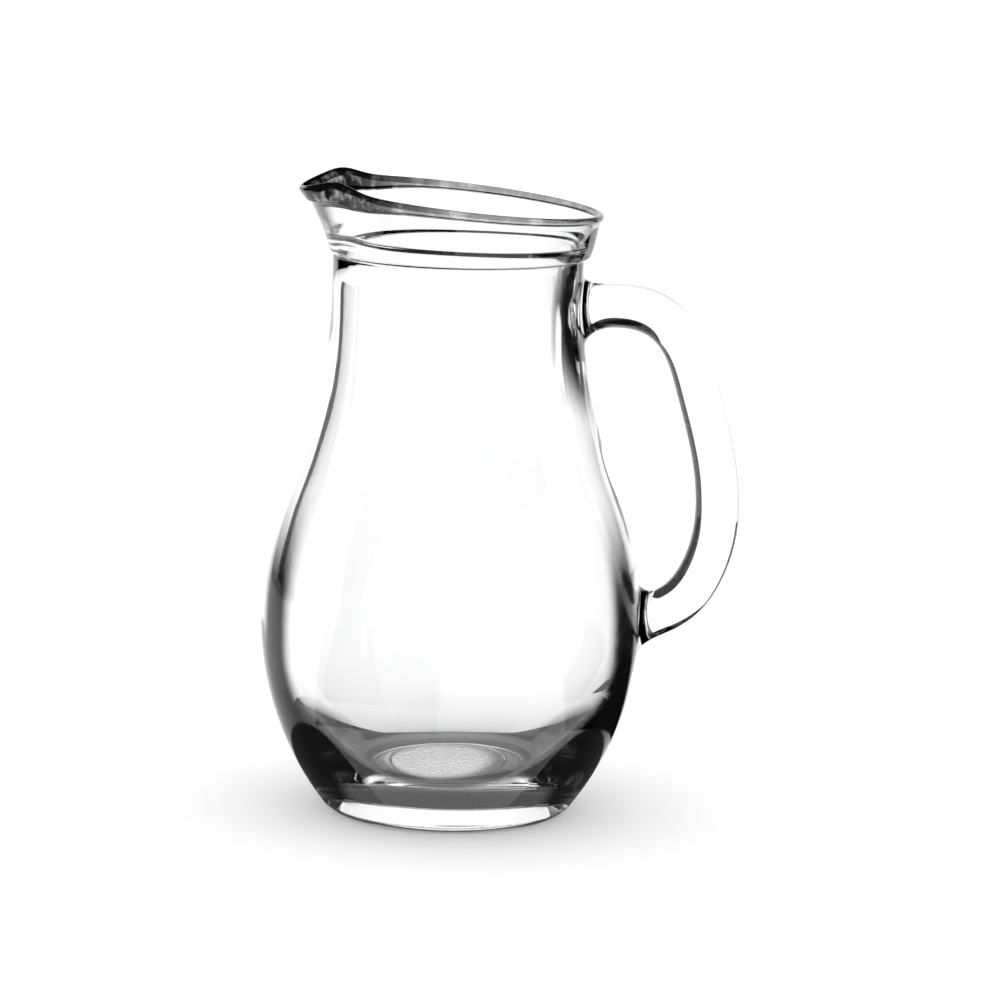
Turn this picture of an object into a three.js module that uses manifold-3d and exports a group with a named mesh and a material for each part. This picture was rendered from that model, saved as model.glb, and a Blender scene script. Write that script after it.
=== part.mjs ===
// A glass pouring jug: a round-bellied body with a slanted mouth and a pulled
// spout, and a solid glass handle that was set on hot. Millimetres, +Z up. The
// handle points along +X, the spout along -X, and the jug is its own mirror
// image across the XZ plane. The origin is on the standing face, midway between
// the belly's far side and the back of the handle.

import * as THREE from 'three';
import { mergeVertices } from 'three/addons/utils/BufferGeometryUtils.js';
import Module from 'manifold-3d';

// Outside of the body: three tangent arcs from the foot to the neck.
const FOOT_RADIUS = 43;         // outer edge of the flat ring that it stands on
const BELLY_RADIUS = 70.2;      // widest radius
const BELLY_HEIGHT = 72;        // height of the widest place
const HEEL_ARC = 113;           // radius of the arc from the heel to the belly
const BELLY_ARC = 131;          // radius of the arc from the belly up
const SHOULDER_ARC = 192;       // radius of the hollow arc below the neck
const NECK_RADIUS = 46;
const HEEL_ROUND = 1.2;         // height of the rounding between foot and heel

// Underside.
const RING_INNER_RADIUS = 35;   // inner edge of the flat ring
const PUNT_DEPTH = 2.2;         // how far the middle is hollowed upward

// Inside of the body.
const FLOOR_THICKNESS = 12;
const BELLY_WALL = 5.2;
const NECK_WALL = 4.2;
const CAVITY_ARC = 76;          // radius of the arc that closes it down to the floor
const CAVITY_SHIFT = 1.4;       // how far the cavity lies towards the handle

// Collar, mouth and spout.
const COLLAR_HEIGHT = 207;      // lower edge of the collar
const COLLAR_RADIUS = 48.4;     // beside the handle
const COLLAR_LOSS = 1.5;        // how much of it the pulled spout takes away
const CREASE_HEIGHT = 213.4;    // inside corner between neck and mouth
const RIM_HEIGHT = 228.1;       // rim halfway round, between handle and spout
const RIM_RADIUS = 52.8;
const MOUTH_WALL = 2.2;
const RIM_BEAD = 1.4;           // radius of the rounded rim
const RIM_SLOPE = 0.097;        // rise of the rim per millimetre towards the spout
const SPOUT_REACH = 6.4;        // how far the spout stands out past the rim
const SPOUT_DIP = 2.4;          // how far its tip bends down
const CHEEK_LIFT = 2.7;         // rise of the rim at each side of the spout
const CHEEK_ANGLE = 0.58;       // where that rise is, in radians from the spout
const CHEEK_SPREAD = 0.22;
const SPOUT_SPREAD = 0.4;
const TIP_SPREAD = 0.25;

// Handle: a round glass rod, thicker where it meets the body.
const ROD_DEPTH = 8.1;          // half its thickness in the plane of the handle
const ROD_WIDTH = 8.8;          // half its thickness across that plane
const NECK_FLARE = 0.7;         // how much thicker it is at the neck's wall
const BELLY_FLARE = 0.35;       // and at the belly's wall
const FLARE_LENGTH = 4.5;       // how fast that fades away from the wall
const HANDLE_REACH = 105.8;     // back of the handle from the body's axis
const JOINT_GAP = 0.3;          // space left between the handle and the wall
const HANDLE_LINE = [           // middle of the rod, from the neck to the belly
  [40, 189.5], [54, 189.5], [66, 188.6], [76, 184.2], [83.5, 175], [89, 159.5],
  [94, 141.4], [97.5, 120], [97, 106], [93, 92], [84.5, 79.8], [74, 73.5], [50, 62],
];

const BODY_SEGMENTS = 64;
const ROD_RINGS = 44;
const ROD_SIDES = 20;
const AXIS_X = (BELLY_RADIUS - HANDLE_REACH) / 2;   // where the body's axis stands

const wasm = await Module();
wasm.setup();

function smooth(low, high, value) {
  return THREE.MathUtils.smoothstep(value, low, high);
}

// Height where the hollow shoulder arc ends and the straight neck begins.
const arcSpan = BELLY_ARC + SHOULDER_ARC;
const arcRun = NECK_RADIUS + SHOULDER_ARC - (BELLY_RADIUS - BELLY_ARC);
const NECK_HEIGHT = BELLY_HEIGHT + Math.sqrt(arcSpan ** 2 - arcRun ** 2);
const TANGENT_HEIGHT = BELLY_HEIGHT + (NECK_HEIGHT - BELLY_HEIGHT) * BELLY_ARC / arcSpan;

function outerRadius(z) {
  if (z > NECK_HEIGHT) return NECK_RADIUS;
  if (z > TANGENT_HEIGHT) {
    return NECK_RADIUS + SHOULDER_ARC - Math.sqrt(SHOULDER_ARC ** 2 - (NECK_HEIGHT - z) ** 2);
  }
  const arc = z < BELLY_HEIGHT ? HEEL_ARC : BELLY_ARC;
  return BELLY_RADIUS - arc + Math.sqrt(arc ** 2 - (z - BELLY_HEIGHT) ** 2);
}

// The wall thins from the belly to the neck. Under the belly the cavity closes on a
// tighter arc than the outside does, which leaves the heel thick.
function innerRadius(z) {
  if (z < BELLY_HEIGHT) {
    const drop = CAVITY_ARC - Math.sqrt(CAVITY_ARC ** 2 - (BELLY_HEIGHT - z) ** 2);
    return BELLY_RADIUS - BELLY_WALL - drop;
  }
  const wall = BELLY_WALL + (NECK_WALL - BELLY_WALL) * smooth(BELLY_HEIGHT, NECK_HEIGHT, z);
  return outerRadius(z) - wall;
}

function heights(low, high, count) {
  return Array.from({ length: count }, (_, i) => low + (high - low) * (i + 0.5) / count);
}

// Radius and height, from the middle of the underside, up the outside, over
// the rim, and down the inside to the middle of the floor.
function bodyOutline() {
  const outline = [[0, PUNT_DEPTH], [RING_INNER_RADIUS * 0.6, PUNT_DEPTH * 0.9]];
  outline.push([RING_INNER_RADIUS - 2, PUNT_DEPTH * 0.35], [RING_INNER_RADIUS, 0], [FOOT_RADIUS, 0]);
  outline.push([outerRadius(HEEL_ROUND) - 0.3, HEEL_ROUND]);
  for (const z of heights(3, NECK_HEIGHT, 18)) outline.push([outerRadius(z), z]);
  outline.push([NECK_RADIUS, COLLAR_HEIGHT - 1.6], [COLLAR_RADIUS, COLLAR_HEIGHT]);
  outline.push([COLLAR_RADIUS + 1.4, CREASE_HEIGHT - 1], [RIM_RADIUS - 0.8, RIM_HEIGHT - 4 * RIM_BEAD]);
  for (let i = 0; i <= 4; i += 1) {
    const turn = Math.PI * i / 4;
    outline.push([
      RIM_RADIUS - RIM_BEAD + RIM_BEAD * Math.cos(turn),
      RIM_HEIGHT - RIM_BEAD + RIM_BEAD * Math.sin(turn),
    ]);
  }
  outline.push([RIM_RADIUS - 0.8 - MOUTH_WALL, RIM_HEIGHT - 4 * RIM_BEAD]);
  outline.push([COLLAR_RADIUS + 1.6 - MOUTH_WALL, CREASE_HEIGHT]);
  const neckBore = NECK_RADIUS - NECK_WALL;
  outline.push([neckBore + 2.6, CREASE_HEIGHT - 1.4], [neckBore + 0.8, COLLAR_HEIGHT], [neckBore, COLLAR_HEIGHT - 4]);
  for (const z of heights(BELLY_HEIGHT, NECK_HEIGHT, 9).reverse()) outline.push([innerRadius(z), z]);
  for (const z of heights(FLOOR_THICKNESS, BELLY_HEIGHT, 9).reverse()) outline.push([innerRadius(z), z]);
  outline.push([innerRadius(FLOOR_THICKNESS), FLOOR_THICKNESS]);
  outline.push([0, FLOOR_THICKNESS]);
  return outline;
}

// Slants the mouth, pulls the spout out and moves the cavity off centre.
function shapeMouthAndCavity(position) {
  for (let i = 0; i < position.count; i += 1) {
    let x = position.getX(i);
    let y = position.getY(i);
    let z = position.getZ(i);
    const radius = Math.hypot(x, y);
    if (z > COLLAR_HEIGHT) {
      const share = (z - COLLAR_HEIGHT) / (RIM_HEIGHT - COLLAR_HEIGHT);
      const fromSpout = Math.abs(Math.atan2(y, -x));
      const cheek = Math.exp(-(((fromSpout - CHEEK_ANGLE) / CHEEK_SPREAD) ** 2));
      const tip = Math.exp(-((fromSpout / TIP_SPREAD) ** 2));
      const pull = SPOUT_REACH * Math.exp(-((fromSpout / SPOUT_SPREAD) ** 2)) * share ** 3
        - COLLAR_LOSS * (1 + Math.cos(fromSpout)) / 2 * Math.max(0, 1 - share);
      z += share * (CHEEK_LIFT * cheek - SPOUT_DIP * tip - RIM_SLOPE * x);
      x *= 1 + pull / radius;
      y *= 1 + pull / radius;
    }
    if (z > FLOOR_THICKNESS - 1 && z < COLLAR_HEIGHT && radius < outerRadius(z) - 1) {
      x += CAVITY_SHIFT * Math.sin(Math.PI * (z - FLOOR_THICKNESS) / (COLLAR_HEIGHT - FLOOR_THICKNESS));
    }
    position.setXYZ(i, x, y, z);
  }
}

function revolve(outline) {
  const points = outline.map(([radius, z]) => new THREE.Vector2(radius, z));
  return new THREE.LatheGeometry(points, BODY_SEGMENTS).rotateX(Math.PI / 2);
}

function solidFrom(geometry) {
  geometry.deleteAttribute('normal');
  geometry.deleteAttribute('uv');
  const merged = mergeVertices(geometry, 1e-3);
  const corners = merged.index.array;
  const triangles = [];
  for (let i = 0; i < corners.length; i += 3) {
    const [a, b, c] = corners.slice(i, i + 3);
    if (a !== b && b !== c && c !== a) triangles.push(a, b, c);
  }
  return new wasm.Manifold(new wasm.Mesh({
    numProp: 3,
    vertProperties: new Float32Array(merged.attributes.position.array),
    triVerts: new Uint32Array(triangles),
  }));
}

function geometryFrom(solid) {
  const mesh = solid.getMesh();
  const geometry = new THREE.BufferGeometry();
  geometry.setAttribute('position', new THREE.BufferAttribute(new Float32Array(mesh.vertProperties), 3));
  geometry.setIndex(new THREE.BufferAttribute(new Uint32Array(mesh.triVerts), 1));
  geometry.computeVertexNormals();
  return geometry;
}

function makeBody() {
  const geometry = revolve(bodyOutline());
  shapeMouthAndCavity(geometry.attributes.position);
  return solidFrom(geometry);
}

// The space that the body's outside takes up, grown by the gap at the joints.
function makeBodySpace() {
  const outline = [[0, 0]];
  for (const z of heights(20, COLLAR_HEIGHT, 60)) outline.push([outerRadius(z) + JOINT_GAP, z]);
  outline.push([0, COLLAR_HEIGHT]);
  return solidFrom(revolve(outline));
}

// A rod of oval section along the middle line, closed at both ends, which is
// then cut back to the wall of the body.
function makeHandle() {
  const line = new THREE.CatmullRomCurve3(HANDLE_LINE.map(([x, z]) => new THREE.Vector3(x, 0, z)));
  const corners = [];
  for (let ring = 0; ring <= ROD_RINGS; ring += 1) {
    const along = (1 - Math.cos(Math.PI * ring / ROD_RINGS)) / 2;
    const centre = line.getPointAt(along);
    const tangent = line.getTangentAt(along);
    const outward = new THREE.Vector3(tangent.z, 0, -tangent.x).negate();
    const fromWall = Math.max(0, centre.x - outerRadius(centre.z));
    const jointFlare = along < 0.5 ? NECK_FLARE : BELLY_FLARE;
    const flare = 1 + jointFlare * Math.exp(-fromWall / FLARE_LENGTH);
    for (let side = 0; side < ROD_SIDES; side += 1) {
      const turn = 2 * Math.PI * side / ROD_SIDES;
      corners.push(centre.clone()
        .addScaledVector(outward, ROD_DEPTH * flare * Math.cos(turn))
        .add(new THREE.Vector3(0, ROD_WIDTH * flare * Math.sin(turn), 0)));
    }
  }
  const index = [];
  for (let ring = 0; ring < ROD_RINGS; ring += 1) {
    for (let side = 0; side < ROD_SIDES; side += 1) {
      const next = (side + 1) % ROD_SIDES;
      const [a, b] = [ring * ROD_SIDES + side, ring * ROD_SIDES + next];
      index.push(a, b + ROD_SIDES, b, a, a + ROD_SIDES, b + ROD_SIDES);
    }
  }
  for (let side = 1; side < ROD_SIDES - 1; side += 1) {
    const last = ROD_RINGS * ROD_SIDES;
    index.push(0, side, side + 1, last, last + side + 1, last + side);
  }
  const geometry = new THREE.BufferGeometry().setFromPoints(corners);
  geometry.setIndex(index);
  const rod = solidFrom(geometry);
  return rod.subtract(makeBodySpace());
}

const clearGlass = new THREE.MeshStandardMaterial({
  color: 0xeef4f2, roughness: 0.03, metalness: 0, transparent: true, opacity: 0.35,
});

function part(name, solid) {
  const mesh = new THREE.Mesh(geometryFrom(solid), clearGlass.clone());
  mesh.name = name;
  return mesh;
}

const jug = new THREE.Group();
jug.position.x = AXIS_X;
jug.add(part('jug_body', makeBody()), part('handle', makeHandle()));

export default jug;
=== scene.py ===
"""A clear glass pouring jug with a slanted mouth, a pulled spout and a solid glass handle.

Both pieces are meshed here from their own curves and stand for the CAD solids of
the same names. Shapes are worked out in millimetres from the body's axis, with the
handle along +X and the spout along -X, and go to the frame's metres in put_in_frame.
"""

import math

import bpy
import numpy as np
from mathutils import Matrix, Vector


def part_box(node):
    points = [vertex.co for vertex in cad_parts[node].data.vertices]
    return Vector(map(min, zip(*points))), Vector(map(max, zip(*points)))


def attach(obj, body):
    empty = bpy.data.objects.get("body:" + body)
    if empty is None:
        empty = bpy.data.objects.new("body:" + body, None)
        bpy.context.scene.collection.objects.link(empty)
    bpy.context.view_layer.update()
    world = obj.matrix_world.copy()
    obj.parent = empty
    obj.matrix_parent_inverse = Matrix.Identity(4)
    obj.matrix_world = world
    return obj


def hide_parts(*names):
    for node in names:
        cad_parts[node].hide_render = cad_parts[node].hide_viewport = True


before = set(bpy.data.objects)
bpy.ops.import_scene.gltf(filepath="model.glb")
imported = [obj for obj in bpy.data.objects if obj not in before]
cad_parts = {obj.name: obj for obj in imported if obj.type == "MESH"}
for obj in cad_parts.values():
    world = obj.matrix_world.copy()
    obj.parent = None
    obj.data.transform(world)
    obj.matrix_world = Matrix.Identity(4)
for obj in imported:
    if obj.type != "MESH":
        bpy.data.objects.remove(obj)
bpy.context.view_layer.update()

MM = 0.001
CAD_LOW, CAD_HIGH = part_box("jug_body")
BELLY_RADIUS = (CAD_HIGH.y - CAD_LOW.y) / 2 / MM
AXIS_X = CAD_LOW.x / MM + BELLY_RADIUS     # where the body's axis stands in the frame

# Outside of the body: three tangent arcs from the foot to the neck.
BELLY_HEIGHT = 72
HEEL_ARC = 113
BELLY_ARC = 131
SHOULDER_ARC = 192
NECK_RADIUS = 46

# Underside: a flat ring, and a punt with a shallow round recess in its middle.
FOOT_RADIUS = 43
HEEL_ROUND = 1.6
RING_INNER_RADIUS = 35
PUNT_DEPTH = 2.2
RECESS_RADIUS = 23
RECESS_DEPTH = 0.5

# Inside of the body.
FLOOR_THICKNESS = 12
BELLY_WALL = 5.2
NECK_WALL = 4.2
CAVITY_ARC = 76
CAVITY_SHIFT = 1.4

# Collar, mouth and spout.
COLLAR_HEIGHT = 207
COLLAR_RADIUS = 48.4
COLLAR_LOSS = 1.5
CREASE_HEIGHT = 213.4
RIM_HEIGHT = 228.1
RIM_RADIUS = 52.8
MOUTH_WALL = 2.2
RIM_SLOPE = 0.097
SPOUT_REACH = 6.4
SPOUT_DIP = 2.4
CHEEK_LIFT = 2.7
CHEEK_ANGLE = 0.58
CHEEK_SPREAD = 0.22
SPOUT_SPREAD = 0.4
TIP_SPREAD = 0.25
LIP_HEIGHT = 3.0          # height of the thicker lip under the rim
LIP_GROWTH = 3.6          # how much taller it is beside the spout
LIP_THROW = 1.5           # how much further it stands out there
LIP_ANGLE = 0.5           # where it is thickest, in radians from the spout
LIP_SPREAD = 0.5

# Handle: a rod along a smooth line from the neck to the belly, oval in section.
ROD_DEPTH = 8.1
ROD_WIDTH = 8.8
HANDLE_LINE = [
    (46, 188.9), (54, 189.2), (66, 188.6), (76, 184.2), (83.5, 175), (89, 159.5),
    (94, 141.4), (97.5, 120), (97, 106), (93, 92), (84.5, 79.8), (74, 73.5), (66, 69.5),
]

FILLET_PULL = 1.05        # how strongly its fillets leave the wall and meet the rod
FILLET_EASE = 1.15        # crowds the fillet's rings towards the wall
ROD_SWELL = 0.012         # slight change of its thickness along the way

# Bumps of hot-worked glass: how high (mm), how far above the joint's middle (mm), how
# far they spread up and down (mm), and round the axis (radians). The inside wall is
# pushed in opposite the joints, and the outside is dented below the lower one.
NECK_BULGES = [(3.2, -2, 17, 0.3), (-1.5, -32, 16, 0.22), (0.9, -62, 22, 0.14)]
BELLY_BULGES = [(4.0, -9, 9, 0.17), (-2.0, 12, 8, 0.15)]
BELLY_DENTS = [(1.0, -20, 7, 0.13)]
OUTSIDE_RIPPLE = 0.5      # share of the ripple that the outside wall shows

# The dark bands that refraction draws on the body are painted shade: near-black is mixed
# into the glass. The one along the heel and belly is complete below HEEL_DARK_LOW and gone
# above HEEL_DARK_TOP (mm), and leaves out the foot. Those of the joints lie round a middle,
# in mm from the body's axis and the ground.
HEEL_DARK_LOW = 84
HEEL_DARK_TOP = 126
HEEL_DARK_MOST = 0.97
FOOT_CLEAR_BELOW = 7
FOOT_DARK_ABOVE = 11
NECK_DARK_MIDDLE = (48, 0, 186)
BELLY_DARK_MIDDLE = (58, 0, 58)

# Black studio flags: their from and to azimuth in degrees to the left of straight behind
# the jug, and the (radius, height) of two edges in metres. They were placed for the main
# camera's angle.
FLAG_LIFT = 0.0002
FLAGS = [
    ("flag_floor_left", 104, 175, (0.11, FLAG_LIFT), (0.8, FLAG_LIFT)),
    ("flag_floor_right", -116, -41, (0.11, FLAG_LIFT), (0.8, FLAG_LIFT)),
    ("flag_left_front", 106, 160, (0.8, 0), (0.8, 0.8)),
    ("flag_left_back", 39, 75, (0.8, 0), (0.8, 0.8)),
    ("flag_right", -116, -41, (0.8, 0), (0.8, 0.8)),
    ("flag_high", 0, 360, (0.8, 0.42), (0.8, 0.8)),
    ("flag_above", 0, 360, (0.001, 1.1), (0.8, 0.8)),
]

# Mesh resolution.
COLUMNS = 240
CORNER_POINTS = 7
LIP_CORNERS = 3           # the lip's rounded corners from its underside to the rim
ROD_RINGS = 110
FILLET_RINGS = 18

# Where the handle is fused on: an oval patch of the wall, meshed as a square block
# of the body's own grid. height and the two half sizes are in millimetres, columns
# and rows count the block's cells, and reach is how far along the rod its fillet goes.
NECK_JOINT = dict(height=187.3, half_height=13.5, half_width=12.2, columns=24, rows=24,
                  fade=1.22, reach=11.5, up=1)
BELLY_JOINT = dict(height=72.3, half_height=14.2, half_width=12.8, columns=16, rows=32,
                   fade=1.5, reach=10.5, up=-1)


def smooth(low, high, value):
    """0 below low, 1 above high, and a smooth rise between them."""
    share = np.clip((value - low) / (high - low), 0, 1)
    return share * share * (3 - 2 * share)


def bump(value, middle, spread):
    return np.exp(-(((value - middle) / spread) ** 2))


arc_span = BELLY_ARC + SHOULDER_ARC
arc_run = NECK_RADIUS + SHOULDER_ARC - (BELLY_RADIUS - BELLY_ARC)
NECK_HEIGHT = BELLY_HEIGHT + math.sqrt(arc_span**2 - arc_run**2)
TANGENT_HEIGHT = BELLY_HEIGHT + (NECK_HEIGHT - BELLY_HEIGHT) * BELLY_ARC / arc_span


def outer_radius(z):
    """Radius of the outside, from the heel to the neck."""
    z = np.asarray(z, float)
    arc = np.where(z < BELLY_HEIGHT, HEEL_ARC, BELLY_ARC)
    belly = BELLY_RADIUS - arc + np.sqrt(np.maximum(arc**2 - (z - BELLY_HEIGHT) ** 2, 0))
    drop = np.maximum(NECK_HEIGHT - z, 0)
    shoulder = NECK_RADIUS + SHOULDER_ARC - np.sqrt(SHOULDER_ARC**2 - drop**2)
    return np.where(z > TANGENT_HEIGHT, shoulder, belly)


def inner_radius(z):
    """Radius of the cavity, which closes under the belly on an arc of its own."""
    depth = np.clip(BELLY_HEIGHT - z, 0, BELLY_HEIGHT - FLOOR_THICKNESS)
    bowl = BELLY_RADIUS - BELLY_WALL - CAVITY_ARC + np.sqrt(CAVITY_ARC**2 - depth**2)
    wall = BELLY_WALL + (NECK_WALL - BELLY_WALL) * smooth(BELLY_HEIGHT, NECK_HEIGHT, z)
    return np.where(z < BELLY_HEIGHT, bowl, outer_radius(z) - wall)


def rounded(corners, cuts, count):
    """The polyline through corners, with each inner corner replaced by a curve that
    starts and ends cuts[i] away from it."""
    points = [np.array(corners[0], float)]
    for before, corner, after, cut in zip(corners, corners[1:], corners[2:], cuts):
        before, corner, after = (np.array(p, float) for p in (before, corner, after))
        start = corner + (before - corner) / np.linalg.norm(before - corner) * cut
        end = corner + (after - corner) / np.linalg.norm(after - corner) * cut
        for t in np.linspace(0, 1, count):
            points.append((1 - t) ** 2 * start + 2 * t * (1 - t) * corner + t * t * end)
    points.append(np.array(corners[-1], float))
    return points


def punt_height(radius):
    dome = PUNT_DEPTH * (1 - (radius / RING_INNER_RADIUS) ** 6)
    return dome + RECESS_DEPTH * (1 - smooth(RECESS_RADIUS - 0.8, RECESS_RADIUS + 0.8, radius))


def spaced(low, high, cells):
    """The ends of equal cells from low to high, without the last."""
    return list(np.linspace(low, high, cells, endpoint=False))


def body_profile():
    """Rows of (radius, height) from the middle of the underside, up the outside, over
    the rim and down to the middle of the floor, and where the wall's rows begin."""
    step_in, step_out = RECESS_RADIUS - 2, RECESS_RADIUS + 2
    radii = spaced(1.5, step_in, 8) + spaced(step_in, step_out, 10)
    radii += spaced(step_out, RING_INNER_RADIUS - 2, 6)
    rows = [(r, punt_height(r)) for r in radii]
    heel = float(outer_radius(HEEL_ROUND + 1))
    rows += rounded([
        (RING_INNER_RADIUS - 2, float(punt_height(RING_INNER_RADIUS - 2))),
        (RING_INNER_RADIUS, 0),
        (FOOT_RADIUS, 0),
        (heel, HEEL_ROUND + 1),
    ], [1.2, HEEL_ROUND], CORNER_POINTS)
    low = BELLY_JOINT["height"] - BELLY_JOINT["half_height"]
    low_end = BELLY_JOINT["height"] + BELLY_JOINT["half_height"]
    high = NECK_JOINT["height"] - NECK_JOINT["half_height"]
    high_end = NECK_JOINT["height"] + NECK_JOINT["half_height"]
    wall_start = len(rows)
    heights = spaced(HEEL_ROUND + 2, low, 28) + spaced(low, low_end, BELLY_JOINT["rows"])
    heights += spaced(low_end, high, 44) + spaced(high, high_end, NECK_JOINT["rows"])
    heights += spaced(high_end, COLLAR_HEIGHT - 2.6, 4)
    rows += [(float(outer_radius(z)), z) for z in heights]
    wall_end = len(rows)
    bore = NECK_RADIUS - NECK_WALL
    inner_rim = RIM_RADIUS - 0.6 - MOUTH_WALL
    rows += rounded([
        (NECK_RADIUS, COLLAR_HEIGHT - 2.5),
        (NECK_RADIUS, COLLAR_HEIGHT - 0.5),
        (COLLAR_RADIUS, COLLAR_HEIGHT + 0.4),
        (COLLAR_RADIUS + 1.4, CREASE_HEIGHT - 1),
        (RIM_RADIUS - 1, RIM_HEIGHT - LIP_HEIGHT),
        (RIM_RADIUS - 0.1, RIM_HEIGHT - LIP_HEIGHT + 0.5),
        (RIM_RADIUS, RIM_HEIGHT),
        (inner_rim + 0.2, RIM_HEIGHT),
        (inner_rim, RIM_HEIGHT - 4),
        (COLLAR_RADIUS + 1.2 - MOUTH_WALL, CREASE_HEIGHT),
        (bore + 3.4, CREASE_HEIGHT - 1.1),
        (bore + 1.0, COLLAR_HEIGHT),
        (bore, COLLAR_HEIGHT - 6),
    ], [0.9, 0.7, 3, 0.45, 0.45, 1.3, 1.0, 2, 0.8, 1.5, 2.5], CORNER_POINTS)
    rows += [(float(inner_radius(z)), z) for z in spaced(NECK_HEIGHT, BELLY_HEIGHT, 62)]
    corner = float(inner_radius(FLOOR_THICKNESS))
    rows += [(float(inner_radius(z)), z) for z in spaced(BELLY_HEIGHT, FLOOR_THICKNESS + 2.5, 34)]
    rows += rounded([(float(inner_radius(FLOOR_THICKNESS + 2.5)), FLOOR_THICKNESS + 2.5),
                     (corner, FLOOR_THICKNESS), (corner - 4, FLOOR_THICKNESS)], [2.4], 8)
    rows += [(r, FLOOR_THICKNESS) for r in spaced(corner - 6, 0.5, 14)]
    return np.array(rows), wall_start, wall_end


def oval_patch(theta, z, joint):
    """Moves the wall's grid so that the joint's block of cells fills an oval."""
    a = theta / (joint["columns"] / 2 * 2 * math.pi / COLUMNS)
    b = (z - joint["height"]) / joint["half_height"]
    ring = np.maximum(np.abs(a), np.abs(b))
    near = (ring > 1e-9) & (ring < joint["fade"])
    safe = np.where(near, ring, 1)
    ua, ub = a / safe, b / safe
    across = ring * ua * np.sqrt(1 - ub**2 / 2 * near)
    along = ring * ub * np.sqrt(1 - ua**2 / 2 * near)
    width = joint["half_width"] / outer_radius(joint["height"])
    keep = smooth(1, joint["fade"], ring)
    new_theta = across * width * (1 - keep) + theta * keep
    new_z = (joint["height"] + along * joint["half_height"]) * (1 - keep) + z * keep
    return np.where(near, new_theta, theta), np.where(near, new_z, z)


def ripple(theta, z):
    """The slight unevenness of hot-worked glass, in millimetres: slow waves that never
    line up, and a faint quicker one."""
    slow = np.sin(2 * theta + z / 31) * np.sin(z / 47 + 1.3)
    slow = slow + 0.6 * np.sin(3 * theta - z / 23 + 0.7)
    return 0.10 * slow + 0.03 * np.sin(5 * theta + z / 9)


def bumps(table, joint, theta, z):
    """The bumps of a table, placed round a joint."""
    parts = [
        height * bump(z, joint["height"] + above, spread) * bump(theta, 0, turn)
        for height, above, spread, turn in table]
    return sum(parts)


def outer_point(theta, z):
    """A point of the outside wall."""
    dent = bumps(BELLY_DENTS, BELLY_JOINT, theta, z)
    radius = outer_radius(z) + OUTSIDE_RIPPLE * ripple(theta, z) - dent
    return np.stack([radius * np.cos(theta), radius * np.sin(theta), z], -1)


def cavity_bulge(theta, z):
    """How far the hot handle pushed the inside wall in, opposite its joints."""
    return bumps(NECK_BULGES, NECK_JOINT, theta, z) + bumps(BELLY_BULGES, BELLY_JOINT, theta, z)


def shape_mouth(points, lip, outside):
    """Slants the mouth, pulls the spout out and thickens the lip beside it. lip is 1
    on the lip's outside, where it grows, and 0 elsewhere; outside marks the collar's
    and the lip's outer rows."""
    x, y, z = points[..., 0], points[..., 1], points[..., 2]
    radius = np.hypot(x, y)
    above = z > COLLAR_HEIGHT - 3
    from_spout = np.abs(np.arctan2(y, -x))
    beside = bump(from_spout, LIP_ANGLE, LIP_SPREAD)
    depth = RIM_HEIGHT - z
    growth = 1 + LIP_GROWTH / LIP_HEIGHT * beside
    full = RIM_HEIGHT - COLLAR_HEIGHT
    squeeze = (full - LIP_HEIGHT * growth) / (full - LIP_HEIGHT)
    below_lip = LIP_HEIGHT * growth + (depth - LIP_HEIGHT) * squeeze
    lip_depth = np.where(depth < LIP_HEIGHT, depth * growth, below_lip)
    z = np.where(outside, RIM_HEIGHT - lip_depth, z)
    throw = LIP_THROW * beside * lip
    cheek = bump(from_spout, CHEEK_ANGLE, CHEEK_SPREAD)
    tip = bump(from_spout, 0, TIP_SPREAD)
    share = np.clip((z - COLLAR_HEIGHT) / full, 0, None)
    loss = COLLAR_LOSS * (1 + np.cos(from_spout)) / 2 * np.maximum(0, 1 - share)
    loss = loss * smooth(COLLAR_HEIGHT - 1.5, COLLAR_HEIGHT, points[..., 2])
    pull = SPOUT_REACH * bump(from_spout, 0, SPOUT_SPREAD) * share**3 - loss + throw
    z = z + share * (CHEEK_LIFT * cheek - SPOUT_DIP * tip - RIM_SLOPE * x)
    scale = 1 + pull / np.maximum(radius, 1)
    shaped = np.stack([x * scale, y * scale, z], -1)
    return np.where(above[..., None], shaped, points)


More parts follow.
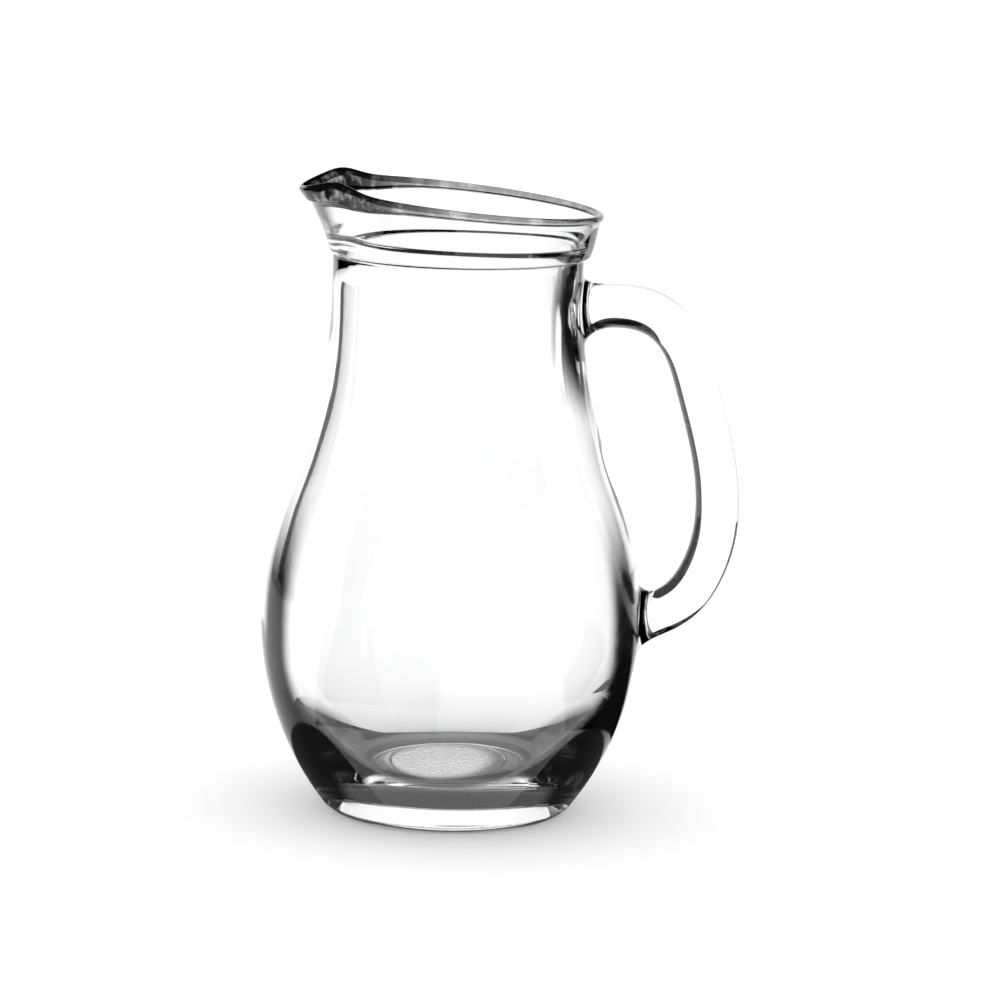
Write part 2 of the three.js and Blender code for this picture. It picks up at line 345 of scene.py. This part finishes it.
def body_grid():
    """Points of the body as rows by columns, and each joint's block of cells."""
    profile, wall_start, wall_end = body_profile()
    turn = np.arange(COLUMNS) * 2 * math.pi / COLUMNS
    turn = np.where(turn > math.pi, turn - 2 * math.pi, turn)
    theta = np.tile(turn, (len(profile), 1))
    z = np.tile(profile[:, 1:], (1, COLUMNS))
    radius = np.tile(profile[:, :1], (1, COLUMNS))
    wall = slice(wall_start, wall_end)
    theta_wall, z_wall = theta[wall], z[wall]
    for joint in (BELLY_JOINT, NECK_JOINT):
        theta_wall, z_wall = oval_patch(theta_wall, z_wall, joint)
    top = int(np.argmax(profile[:, 1]))
    inside = (np.arange(len(profile)) > top)[:, None] & (z < COLLAR_HEIGHT)
    outside = (np.arange(len(profile)) <= top)[:, None] & (z > COLLAR_HEIGHT)
    settle = smooth(FLOOR_THICKNESS, FLOOR_THICKNESS + 8, z) * (1 - smooth(200, COLLAR_HEIGHT, z))
    radius = radius - inside * settle * (cavity_bulge(theta, z) + ripple(theta + 1, z))
    x = radius * np.cos(theta)
    rise = np.clip((z - FLOOR_THICKNESS) / (COLLAR_HEIGHT - FLOOR_THICKNESS), 0, 1)
    x = x + inside * CAVITY_SHIFT * np.sin(math.pi * rise)
    points = np.stack([x, radius * np.sin(theta), z], -1)
    points[wall] = outer_point(theta_wall, z_wall)
    under_rim = np.clip((RIM_HEIGHT - z) / LIP_HEIGHT, 0, 1)
    lip = outside * (1 - smooth(0.86, 1.0, under_rim)) * smooth(0, 0.25, under_rim)
    points = shape_mouth(points, lip, outside)
    blocks = []
    for joint in (NECK_JOINT, BELLY_JOINT):
        foot = joint["height"] - joint["half_height"]
        first = wall_start + int(np.argmin(np.abs(profile[wall_start:wall_end, 1] - foot)))
        blocks.append((first, -joint["columns"] // 2))
    return points, blocks


def grid_faces(rows, columns, closed):
    """Quads between neighbouring rows of a grid numbered row by row."""
    row, column = np.meshgrid(
        np.arange(rows - 1), np.arange(columns if closed else columns - 1), indexing="ij")
    here, there = row * columns, (row + 1) * columns
    after = (column + 1) % columns
    return np.stack([here + column, here + after, there + after, there + column], -1).reshape(-1, 4)


def put_in_frame(points):
    return (points + np.array([AXIS_X, 0, 0])) * MM


def make_mesh(name, points, faces, materials, slots):
    """A smooth-shaded mesh object. faces is a list of arrays of quads or triangles."""
    mesh = bpy.data.meshes.new(name)
    mesh.from_pydata(put_in_frame(points).tolist(), [], [f for part in faces for f in part.tolist()])
    for material in materials:
        mesh.materials.append(material)
    mesh.polygons.foreach_set("material_index", np.asarray(slots, np.int32))
    mesh.polygons.foreach_set("use_smooth", np.ones(len(mesh.polygons), bool))
    mesh.update()
    thing = bpy.data.objects.new(name, mesh)
    bpy.context.scene.collection.objects.link(thing)
    return thing


def build_body(points, blocks, glasses):
    """glasses are for the outside, the fused joints, the inside and the lip."""
    rows = len(points)
    flat = points.reshape(-1, 3)
    floor, ceiling = len(flat), len(flat) + 1
    middle_low = np.array([0, 0, PUNT_DEPTH + RECESS_DEPTH])
    middle_high = np.array([0, 0, FLOOR_THICKNESS])
    flat = np.vstack([flat, middle_low, middle_high])
    quads = grid_faces(rows, COLUMNS, True)
    column = np.arange(COLUMNS)
    after = (column + 1) % COLUMNS
    under = np.stack([np.full(COLUMNS, floor), after, column], -1)
    last = (rows - 1) * COLUMNS
    over = np.stack([np.full(COLUMNS, ceiling), last + column, last + after], -1)
    slots = np.zeros((rows - 1, COLUMNS), int)
    for (first, start), joint in zip(blocks, (NECK_JOINT, BELLY_JOINT)):
        for step in range(joint["columns"]):
            slots[first:first + joint["rows"], (start + step) % COLUMNS] = 1
    top = int(np.argmax(points[:, COLUMNS // 4, 2]))
    lip_start = top + 1 - LIP_CORNERS * CORNER_POINTS
    lip_end = top + 1 + CORNER_POINTS
    slots[lip_start:lip_end] = 3
    slots[lip_end:] = 2
    slots = np.concatenate([slots.ravel(), np.zeros(COLUMNS, int), np.full(COLUMNS, 2)])
    return make_mesh("jug_body_glass", flat, [quads, under, over], glasses, slots)


def rod_line(count):
    """Points and directions evenly along the smooth line through HANDLE_LINE."""
    knots = np.array(HANDLE_LINE, float)
    reach = np.concatenate([[0], np.cumsum(np.linalg.norm(np.diff(knots, axis=0), axis=1))])
    n = len(knots)
    step = np.diff(reach)
    system = np.eye(n)
    slope = np.zeros((n, 2))
    for i in range(1, n - 1):
        system[i, i - 1:i + 2] = [step[i - 1], 2 * (step[i - 1] + step[i]), step[i]]
        slope[i] = 6 * ((knots[i + 1] - knots[i]) / step[i] - (knots[i] - knots[i - 1]) / step[i - 1])
    bend = np.linalg.solve(system, slope)
    at = np.linspace(0, reach[-1], count)
    i = np.clip(np.searchsorted(reach, at) - 1, 0, n - 2)
    h = step[i][:, None]
    left, right = (reach[i + 1] - at)[:, None], (at - reach[i])[:, None]
    line = (bend[i] * left**3 + bend[i + 1] * right**3) / (6 * h)
    line += (knots[i] / h - bend[i] * h / 6) * left + (knots[i + 1] / h - bend[i + 1] * h / 6) * right
    direction = np.gradient(line, axis=0)
    return line, direction / np.linalg.norm(direction, axis=1)[:, None]


def block_rim(joint):
    """Cell corners round a joint's block, as (row, column) steps from its low corner,
    in the order in which the rod's section turns."""
    rows, columns = joint["rows"], joint["columns"]
    right = [(r, columns) for r in range(rows)]
    top = [(rows, c) for c in range(columns, 0, -1)]
    left = [(r, 0) for r in range(rows, 0, -1)]
    bottom = [(0, c) for c in range(columns)]
    rim = right + top + left + bottom
    if joint["up"] < 0:
        rim = [(rows - r, c) for r, c in rim]
    return np.array(rim)


def block_points(points, block, joint):
    """The body's points under one joint."""
    first, start = block
    columns = (start + np.arange(joint["columns"] + 1)) % COLUMNS
    return points[first:first + joint["rows"] + 1][:, columns]


def fillet_start(joint, patch, rim):
    """Where a fillet starts: the points of the oval on the wall, their angles round the
    rod, and the directions along the wall in which it leaves them."""
    edge = patch[rim[:, 0], rim[:, 1]]
    a = rim[:, 1] / joint["columns"] * 2 - 1
    b = rim[:, 0] / joint["rows"] * 2 - 1
    across, along = a * np.sqrt(1 - b**2 / 2), b * np.sqrt(1 - a**2 / 2)
    angle = np.unwrap(np.arctan2(joint["up"] * along, across))
    width = joint["half_width"] / outer_radius(joint["height"])
    shrink = 0.96
    inward = outer_point(shrink * across * width, joint["height"] + shrink * along * joint["half_height"])
    leave = inward - edge
    leave /= np.linalg.norm(leave, axis=1)[:, None]
    return edge, angle, leave


def rod_section(centre, direction, angle, grow=1.0):
    """An oval ring of the rod, square to its direction."""
    across = np.array([0, 1, 0])
    normal = np.array([-direction[1], 0, direction[0]])
    middle = np.array([centre[0], 0, centre[1]])
    return (middle + grow * ROD_WIDTH * np.cos(angle)[:, None] * across
            + grow * ROD_DEPTH * np.sin(angle)[:, None] * normal)


def hermite(start, leave, end, arrive, t):
    """Points a share t of the way along smooth curves with given end directions."""
    pull = FILLET_PULL * np.linalg.norm(end - start, axis=1)[:, None]
    return ((2 * t**3 - 3 * t**2 + 1) * start + (t**3 - 2 * t**2 + t) * pull * leave
            + (3 * t**2 - 2 * t**3) * end + (t**3 - t**2) * pull * arrive)


def build_handle(points, blocks, glass, contact):
    """The rod with a fillet at each end, closed by copies of the body's own patches."""
    line, direction = rod_line(2000)
    ends = []
    for joint, block in zip((NECK_JOINT, BELLY_JOINT), blocks):
        patch = block_points(points, block, joint)
        rim = block_rim(joint)
        edge, angle, leave = fillet_start(joint, patch, rim)
        foot = outer_point(0.0, joint["height"])
        away = np.hypot(line[:, 0] - foot[0], line[:, 1] - foot[2])
        inner = np.arange(len(line)) < len(line) / 2
        if joint["up"] < 0:
            inner = ~inner
        at = int(np.argmin(np.where(inner, np.abs(away - joint["reach"]), np.inf)))
        ends.append(dict(patch=patch, rim=rim, edge=edge, angle=angle, leave=leave, at=at))
    near, far = ends
    turns = round((near["angle"][0] - far["angle"][0]) / (2 * math.pi))
    far["angle"] = far["angle"] + 2 * math.pi * turns
    rings = [near["edge"]]
    shares = np.linspace(0, 1, FILLET_RINGS + 1)[1:] ** FILLET_EASE
    flows = [np.insert(direction[end["at"]], 1, 0) for end in ends]
    near_end = rod_section(line[near["at"]], direction[near["at"]], near["angle"])
    for share in shares:
        rings.append(hermite(near["edge"], near["leave"], near_end, flows[0], share))
    stations = np.linspace(near["at"], far["at"], ROD_RINGS + 1).round().astype(int)
    for i, at in enumerate(stations[1:-1], 1):
        share = smooth(0, 1, i / ROD_RINGS)
        angle = near["angle"] * (1 - share) + far["angle"] * share
        along = i / ROD_RINGS
        away_from_ends = float(smooth(0, 0.1, along) * (1 - smooth(0.9, 1, along)))
        swell = 1 + ROD_SWELL * math.sin(along * 9 + 1) * away_from_ends
        rings.append(rod_section(line[at], direction[at], angle, swell))
    far_end = rod_section(line[far["at"]], direction[far["at"]], far["angle"])
    for share in np.concatenate([shares[::-1], [0]]):
        rings.append(hermite(far["edge"], far["leave"], far_end, -flows[1], share))
    count = len(near["rim"])
    flat = np.concatenate([np.concatenate(rings)] + [end["patch"].reshape(-1, 3) for end in ends])
    sides = grid_faces(len(rings), count, True)
    faces, slots = [sides], [np.zeros(len(sides), int)]
    start = len(rings) * count
    for end, joint, ring in ((near, NECK_JOINT, 0), (far, BELLY_JOINT, len(rings) - 1)):
        cap = grid_faces(joint["rows"] + 1, joint["columns"] + 1, False)[:, ::-1] + start
        shared = {start + r * (joint["columns"] + 1) + c: ring * count + k
                  for k, (r, c) in enumerate(end["rim"])}
        cap = np.vectorize(lambda v: shared.get(v, v))(cap)
        faces.append(cap)
        slots.append(np.ones(len(cap), int))
        start += end["patch"].shape[0] * end["patch"].shape[1]
    used = np.unique(np.concatenate(faces))
    renumber = np.zeros(len(flat), int)
    renumber[used] = np.arange(len(used))
    faces = [renumber[part] for part in faces]
    return make_mesh("handle_glass", flat[used], faces, [glass, contact], np.concatenate(slots))


def new_material(name):
    material = bpy.data.materials.new(name)
    material.use_nodes = True
    nodes = material.node_tree.nodes
    nodes.clear()
    output = nodes.new("ShaderNodeOutputMaterial")
    return material, nodes, material.node_tree.links, output


def noise(nodes, links, where, scale, detail=2.0):
    texture = nodes.new("ShaderNodeTexNoise")
    texture.inputs["Scale"].default_value = scale
    texture.inputs["Detail"].default_value = detail
    links.new(where.outputs["Object"], texture.inputs["Vector"])
    return texture


def scaled(nodes, links, value, low, high, to_low=0.0, to_high=1.0):
    """A node that maps value smoothly from low..high to to_low..to_high."""
    span = nodes.new("ShaderNodeMapRange")
    span.interpolation_type = "SMOOTHSTEP"
    for name, number in (("From Min", low), ("From Max", high), ("To Min", to_low), ("To Max", to_high)):
        span.inputs[name].default_value = number
    links.new(value, span.inputs["Value"])
    return span.outputs["Result"]


def combined(nodes, links, kind, first, second):
    """A math node of one kind that joins two values."""
    joined = nodes.new("ShaderNodeMath")
    joined.operation = kind
    links.new(first, joined.inputs[0])
    links.new(second, joined.inputs[1])
    return joined.outputs["Value"]


def times(nodes, links, first, second):
    return combined(nodes, links, "MULTIPLY", first, second)


def most(nodes, links, first, second):
    return combined(nodes, links, "MAXIMUM", first, second)


def near_point(nodes, links, where, point, inner, outer):
    """1 within inner mm of a point, 0 beyond outer."""
    away = nodes.new("ShaderNodeVectorMath")
    away.operation = "DISTANCE"
    links.new(where.outputs["Object"], away.inputs[0])
    away.inputs[1].default_value = ((AXIS_X + point[0]) * MM, point[1] * MM, point[2] * MM)
    return scaled(nodes, links, away.outputs["Value"], inner * MM, outer * MM, 1.0, 0.0)


def streaks(nodes, links, where):
    """Upright streaks that break up the painted dark refraction round a joint."""
    stretch = nodes.new("ShaderNodeMapping")
    stretch.inputs["Scale"].default_value = (1, 1, 0.16)
    links.new(where.outputs["Object"], stretch.inputs["Vector"])
    texture = nodes.new("ShaderNodeTexNoise")
    texture.inputs["Scale"].default_value = 150
    texture.inputs["Detail"].default_value = 1.5
    texture.inputs["Distortion"].default_value = 0.8
    links.new(stretch.outputs["Vector"], texture.inputs["Vector"])
    return scaled(nodes, links, texture.outputs["Fac"], 0.36, 0.5)


def level_facing(nodes, links):
    """0 where the surface faces the viewer and 1 at its outline, as if it were upright."""
    geometry = nodes.new("ShaderNodeNewGeometry")
    upright = nodes.new("ShaderNodeVectorMath")
    upright.operation = "MULTIPLY"
    upright.inputs[1].default_value = (1, 1, 0)
    links.new(geometry.outputs["Normal"], upright.inputs[0])
    level = nodes.new("ShaderNodeVectorMath")
    level.operation = "NORMALIZE"
    links.new(upright.outputs["Vector"], level.inputs[0])
    graze = nodes.new("ShaderNodeLayerWeight")
    graze.inputs["Blend"].default_value = 0.5
    links.new(level.outputs["Vector"], graze.inputs["Normal"])
    return graze.outputs["Facing"]


def painted_dark_heel(nodes, links, height, facing):
    """Painted shade: the dark band that refraction draws along the outline of the heel and
    belly, wider towards the foot. The outermost edge stays clearer, and the foot is left out."""
    start = scaled(nodes, links, height, FLOOR_THICKNESS * MM, 62 * MM, 0.3, 0.51)
    past_start = combined(nodes, links, "SUBTRACT", facing, start)
    band = times(
        nodes, links,
        scaled(nodes, links, past_start, -0.06, 0.06),
        scaled(nodes, links, facing, 0.72, 0.84, 1.0, 0.25))
    reach = times(
        nodes, links,
        scaled(nodes, links, height, HEEL_DARK_LOW * MM, HEEL_DARK_TOP * MM, HEEL_DARK_MOST, 0.0),
        scaled(nodes, links, height, FOOT_CLEAR_BELOW * MM, FOOT_DARK_ABOVE * MM))
    return times(nodes, links, band, reach)


def painted_dark_joints(nodes, links, where, facing):
    """Painted shade: dark refraction as upright streaks near the outline round the two joints."""
    edge = times(
        nodes, links,
        scaled(nodes, links, facing, 0.3, 0.4),
        scaled(nodes, links, facing, 0.8, 0.93, 1.0, 0.3))
    area = most(
        nodes, links,
        near_point(nodes, links, where, NECK_DARK_MIDDLE, 26, 46),
        near_point(nodes, links, where, BELLY_DARK_MIDDLE, 24, 38))
    return times(nodes, links, times(nodes, links, area, edge), streaks(nodes, links, where))


def painted_dark_collar(nodes, links, where, height, facing):
    """Painted shade: dark refraction patches near the outline of the collar."""
    above = scaled(nodes, links, height, 212 * MM, 214 * MM, 0.0, 0.85)
    outline = scaled(nodes, links, facing, 0.46, 0.66)
    patchy = scaled(nodes, links, noise(nodes, links, where, 60).outputs["Fac"], 0.4, 0.6, 0.35, 1.0)
    return times(nodes, links, times(nodes, links, above, outline), patchy)


def painted_dark_bands(nodes, links, where, place):
    """How much near-black is mixed into the outside, 0 to 1. It is painted shade that
    imitates the dark bands that refraction draws at the outline of the heel, the joints and the collar."""
    facing = level_facing(nodes, links)
    height = place.outputs["Z"]
    heel = painted_dark_heel(nodes, links, height, facing)
    joints = painted_dark_joints(nodes, links, where, facing)
    collar = painted_dark_collar(nodes, links, where, height, facing)
    return most(nodes, links, most(nodes, links, heel, joints), collar)


def painted_dark_lip(nodes, links, where, place):
    """How much near-black is mixed into the lip as painted dark refraction: most beside the spout."""
    near_spout, past_middle = (AXIS_X - 46) * MM, (AXIS_X + 6) * MM
    dark = scaled(nodes, links, place.outputs["X"], near_spout, past_middle, 1.0, 0.45)
    patchy = scaled(nodes, links, noise(nodes, links, where, 170).outputs["Fac"], 0.3, 0.55, 0.55, 0.99)
    return times(nodes, links, dark, patchy)


def grained(nodes, links, where, place, normal):
    """A fine mould texture on the recess under the foot, on top of another bump."""
    low = scaled(nodes, links, place.outputs["Z"], 2.3 * MM, 2.6 * MM)
    high = scaled(nodes, links, place.outputs["Z"], 2.8 * MM, 2.9 * MM, 1.0, 0.0)
    texture = noise(nodes, links, where, 700, 2.0).outputs["Fac"]
    grain = nodes.new("ShaderNodeBump")
    grain.inputs["Strength"].default_value = 0.8
    grain.inputs["Distance"].default_value = 0.0003
    links.new(times(nodes, links, texture, times(nodes, links, low, high)), grain.inputs["Height"])
    links.new(normal, grain.inputs["Normal"])
    return grain.outputs["Normal"]


def mixed_with_black(nodes, links, surface, share):
    # The near-black is painted shade, standing in for the dark that refraction shows in the glass.
    dark = nodes.new("ShaderNodeBsdfPrincipled")
    dark.inputs["Base Color"].default_value = (0.004, 0.004, 0.004, 1)
    dark.inputs["Specular IOR Level"].default_value = 0.1
    dark.inputs["Roughness"].default_value = 0.1
    mixed = nodes.new("ShaderNodeMixShader")
    links.new(share, mixed.inputs["Fac"])
    links.new(surface, mixed.inputs[1])
    links.new(dark.outputs["BSDF"], mixed.inputs[2])
    return mixed.outputs["Shader"]


def glass_material(name, tint_scale, darkness=None, stipple=False):
    """Clear pressed glass: a trace of colour and haze that changes slowly over the
    piece, and a fine unevenness of the surface. darkness is a function that says how
    much near-black to mix in as painted shade, for the dark bands that refraction shows;
    stipple adds the mould texture of the underside."""
    material, nodes, links, output = new_material(name)
    shader = nodes.new("ShaderNodeBsdfPrincipled")
    shader.inputs["Transmission Weight"].default_value = 1.0
    shader.inputs["IOR"].default_value = 1.5
    where = nodes.new("ShaderNodeTexCoord")
    place = nodes.new("ShaderNodeSeparateXYZ")
    links.new(where.outputs["Object"], place.inputs["Vector"])
    tint = nodes.new("ShaderNodeValToRGB")
    tint.color_ramp.elements[0].position = 0.3
    tint.color_ramp.elements[0].color = (0.965, 0.97, 0.967, 1)
    tint.color_ramp.elements[1].position = 0.7
    tint.color_ramp.elements[1].color = (0.995, 0.997, 0.995, 1)
    links.new(noise(nodes, links, where, tint_scale).outputs["Fac"], tint.inputs["Fac"])
    links.new(tint.outputs["Color"], shader.inputs["Base Color"])
    haze = scaled(nodes, links, noise(nodes, links, where, 60).outputs["Fac"], 0.45, 0.8, 0.0, 0.03)
    links.new(haze, shader.inputs["Roughness"])
    uneven = nodes.new("ShaderNodeBump")
    uneven.inputs["Strength"].default_value = 0.25
    uneven.inputs["Distance"].default_value = 0.0002
    links.new(noise(nodes, links, where, 50, 1.0).outputs["Fac"], uneven.inputs["Height"])
    normal = uneven.outputs["Normal"]
    if stipple:
        normal = grained(nodes, links, where, place, normal)
    links.new(normal, shader.inputs["Normal"])
    surface = shader.outputs["BSDF"]
    if darkness:
        share = darkness(nodes, links, where, place)
        surface = mixed_with_black(nodes, links, surface, share)
    links.new(surface, output.inputs["Surface"])
    return material


def contact_material():
    """Where the handle is fused to the body the glass is one, so nothing shows."""
    material, nodes, links, output = new_material("fused_glass")
    clear = nodes.new("ShaderNodeBsdfTransparent")
    links.new(clear.outputs["BSDF"], output.inputs["Surface"])
    return material


def flat_material(name, colour):
    material, nodes, links, output = new_material(name)
    shader = nodes.new("ShaderNodeBsdfDiffuse")
    shader.inputs["Color"].default_value = colour
    links.new(shader.outputs["BSDF"], output.inputs["Surface"])
    return material


def floor_material():
    """A pale sweep, lit a little from within so that it stays as bright as its back."""
    material, nodes, links, output = new_material("pale_floor")
    shader = nodes.new("ShaderNodeBsdfPrincipled")
    shader.inputs["Base Color"].default_value = (0.9, 0.9, 0.9, 1)
    shader.inputs["Roughness"].default_value = 0.9
    shader.inputs["Emission Color"].default_value = (1, 1, 1, 1)
    shader.inputs["Emission Strength"].default_value = 0.2
    links.new(shader.outputs["BSDF"], output.inputs["Surface"])
    return material


def add_flag(name, points, faces, material):
    """A studio flag: only the glass sees it, not the camera or the floor."""
    mesh = bpy.data.meshes.new(name)
    mesh.from_pydata(points, [], faces)
    mesh.materials.append(material)
    flag = bpy.data.objects.new(name, mesh)
    bpy.context.scene.collection.objects.link(flag)
    flag.visible_camera = False
    flag.visible_diffuse = False
    flag.visible_shadow = False
    flag.visible_volume_scatter = False
    return flag


def sector(name, start, end, low, high, material):
    """A part of a ring round the jug's axis, from azimuth start to end in degrees to
    the left of straight behind it. low and high are (radius, height) in metres."""
    steps = max(2, int(abs(end - start) / 3))
    points = []
    for radius, height in (low, high):
        for angle in np.radians(np.linspace(start, end, steps + 1)):
            points.append((AXIS_X * MM - radius * math.sin(angle), radius * math.cos(angle), height))
    faces = [(i, i + 1, steps + 2 + i, steps + 1 + i) for i in range(steps)]
    return add_flag(name, points, faces, material)


def card_material():
    """Painted shadow under the foot: dark, with a glowing round patch that imitates the light under the
    foot.
    """
    material, nodes, links, output = new_material("foot_card")
    shader = nodes.new("ShaderNodeEmission")
    where = nodes.new("ShaderNodeTexCoord")
    shift = nodes.new("ShaderNodeMapping")
    shift.inputs["Location"].default_value = ((4 - AXIS_X) * MM, -7 * MM, 0)
    links.new(where.outputs["Object"], shift.inputs["Vector"])
    size = nodes.new("ShaderNodeVectorMath")
    size.operation = "LENGTH"
    links.new(shift.outputs["Vector"], size.inputs[0])
    ramp = nodes.new("ShaderNodeMix")
    ramp.data_type = "RGBA"
    links.new(scaled(nodes, links, size.outputs["Value"], 0.017, 0.025), ramp.inputs["Factor"])
    ramp.inputs["A"].default_value = (0.75, 0.75, 0.75, 1)
    ramp.inputs["B"].default_value = (0.08, 0.08, 0.08, 1)
    links.new(ramp.outputs["Result"], shader.inputs["Color"])
    links.new(shader.outputs["Emission"], output.inputs["Surface"])
    return material


def shadow_card(height, material):
    """The dark card under the jug, a painted shadow seen only through the glass: as deep as its foot, and
    wider to both sides.
    """
    angle = np.linspace(0, 2 * math.pi, 96, endpoint=False)
    reach = 0.046 + 0.066 * np.abs(np.sin(angle)) ** 3
    points = [(AXIS_X * MM + r * math.sin(a), r * math.cos(a), height) for a, r in zip(angle, reach)]
    return add_flag("flag_under", points, [tuple(range(len(points)))], material)


def build_studio():
    scene = bpy.context.scene
    world = bpy.data.worlds.new("studio")
    scene.world = world
    world.use_nodes = True
    world.node_tree.nodes["Background"].inputs["Color"].default_value = (1, 1, 1, 1)
    world.node_tree.nodes["Background"].inputs["Strength"].default_value = 1.15
    mesh = bpy.data.meshes.new("floor")
    half = 4.0
    corners = [(-half, -half, 0), (half, -half, 0), (half, half, 0), (-half, half, 0)]
    mesh.from_pydata(corners, [], [(0, 1, 2, 3)])
    mesh.materials.append(floor_material())
    floor = bpy.data.objects.new("floor", mesh)
    scene.collection.objects.link(floor)
    shadow_card(FLAG_LIFT, card_material())
    black = flat_material("black_flag", (0.002, 0.002, 0.002, 1))
    for name, start, end, low, high in FLAGS:
        sector(name, start, end, low, high, black)
    scene.view_settings.view_transform = "Standard"
    scene.view_settings.look = "None"
    scene.cycles.max_bounces = 40
    scene.cycles.transmission_bounces = 40
    scene.cycles.glossy_bounces = 24
    scene.cycles.transparent_max_bounces = 40
    scene.cycles.caustics_reflective = True
    scene.cycles.caustics_refractive = True


def add_camera():
    """The camera looks slightly down on the jug, with the handle to its right, and is
    rolled a little clockwise."""
    distance, height = 1600, 395
    pitch, yaw, roll = (math.radians(angle) for angle in (9.89, 0.62, 1.40))
    ahead = math.cos(pitch)
    forward = Vector((math.sin(yaw) * ahead, math.cos(yaw) * ahead, -math.sin(pitch)))
    level = forward.cross(Vector((0, 0, 1))).normalized()
    upright = level.cross(forward)
    right = level * math.cos(roll) + upright * math.sin(roll)
    up = upright * math.cos(roll) - level * math.sin(roll)
    data = bpy.data.cameras.new("camera")
    data.sensor_width = 36
    data.lens = 158.4
    data.clip_end = 50
    camera = bpy.data.objects.new("camera", data)
    turn = Matrix((right, up, -forward)).transposed().to_4x4()
    camera.matrix_world = Matrix.Translation(Vector((AXIS_X, -distance, height)) * MM) @ turn
    bpy.context.scene.collection.objects.link(camera)
    bpy.context.scene.camera = camera


points, blocks = body_grid()
contact = contact_material()
# The outside and the lip mix in painted shade: near-black for the dark bands that refraction shows.
glasses = [
    glass_material("body_glass", 14, painted_dark_bands, stipple=True),
    contact,
    glass_material("body_glass_inside", 14),
    glass_material("lip_glass", 14, painted_dark_lip),
]
body = build_body(points, blocks, glasses)
handle = build_handle(points, blocks, glass_material("handle_glass", 22), contact)
for piece, node, slot in ((body, "jug_body", "body_glass"), (handle, "handle", "handle_glass")):
    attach(piece, "root")
    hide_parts(node)

build_studio()
add_camera()
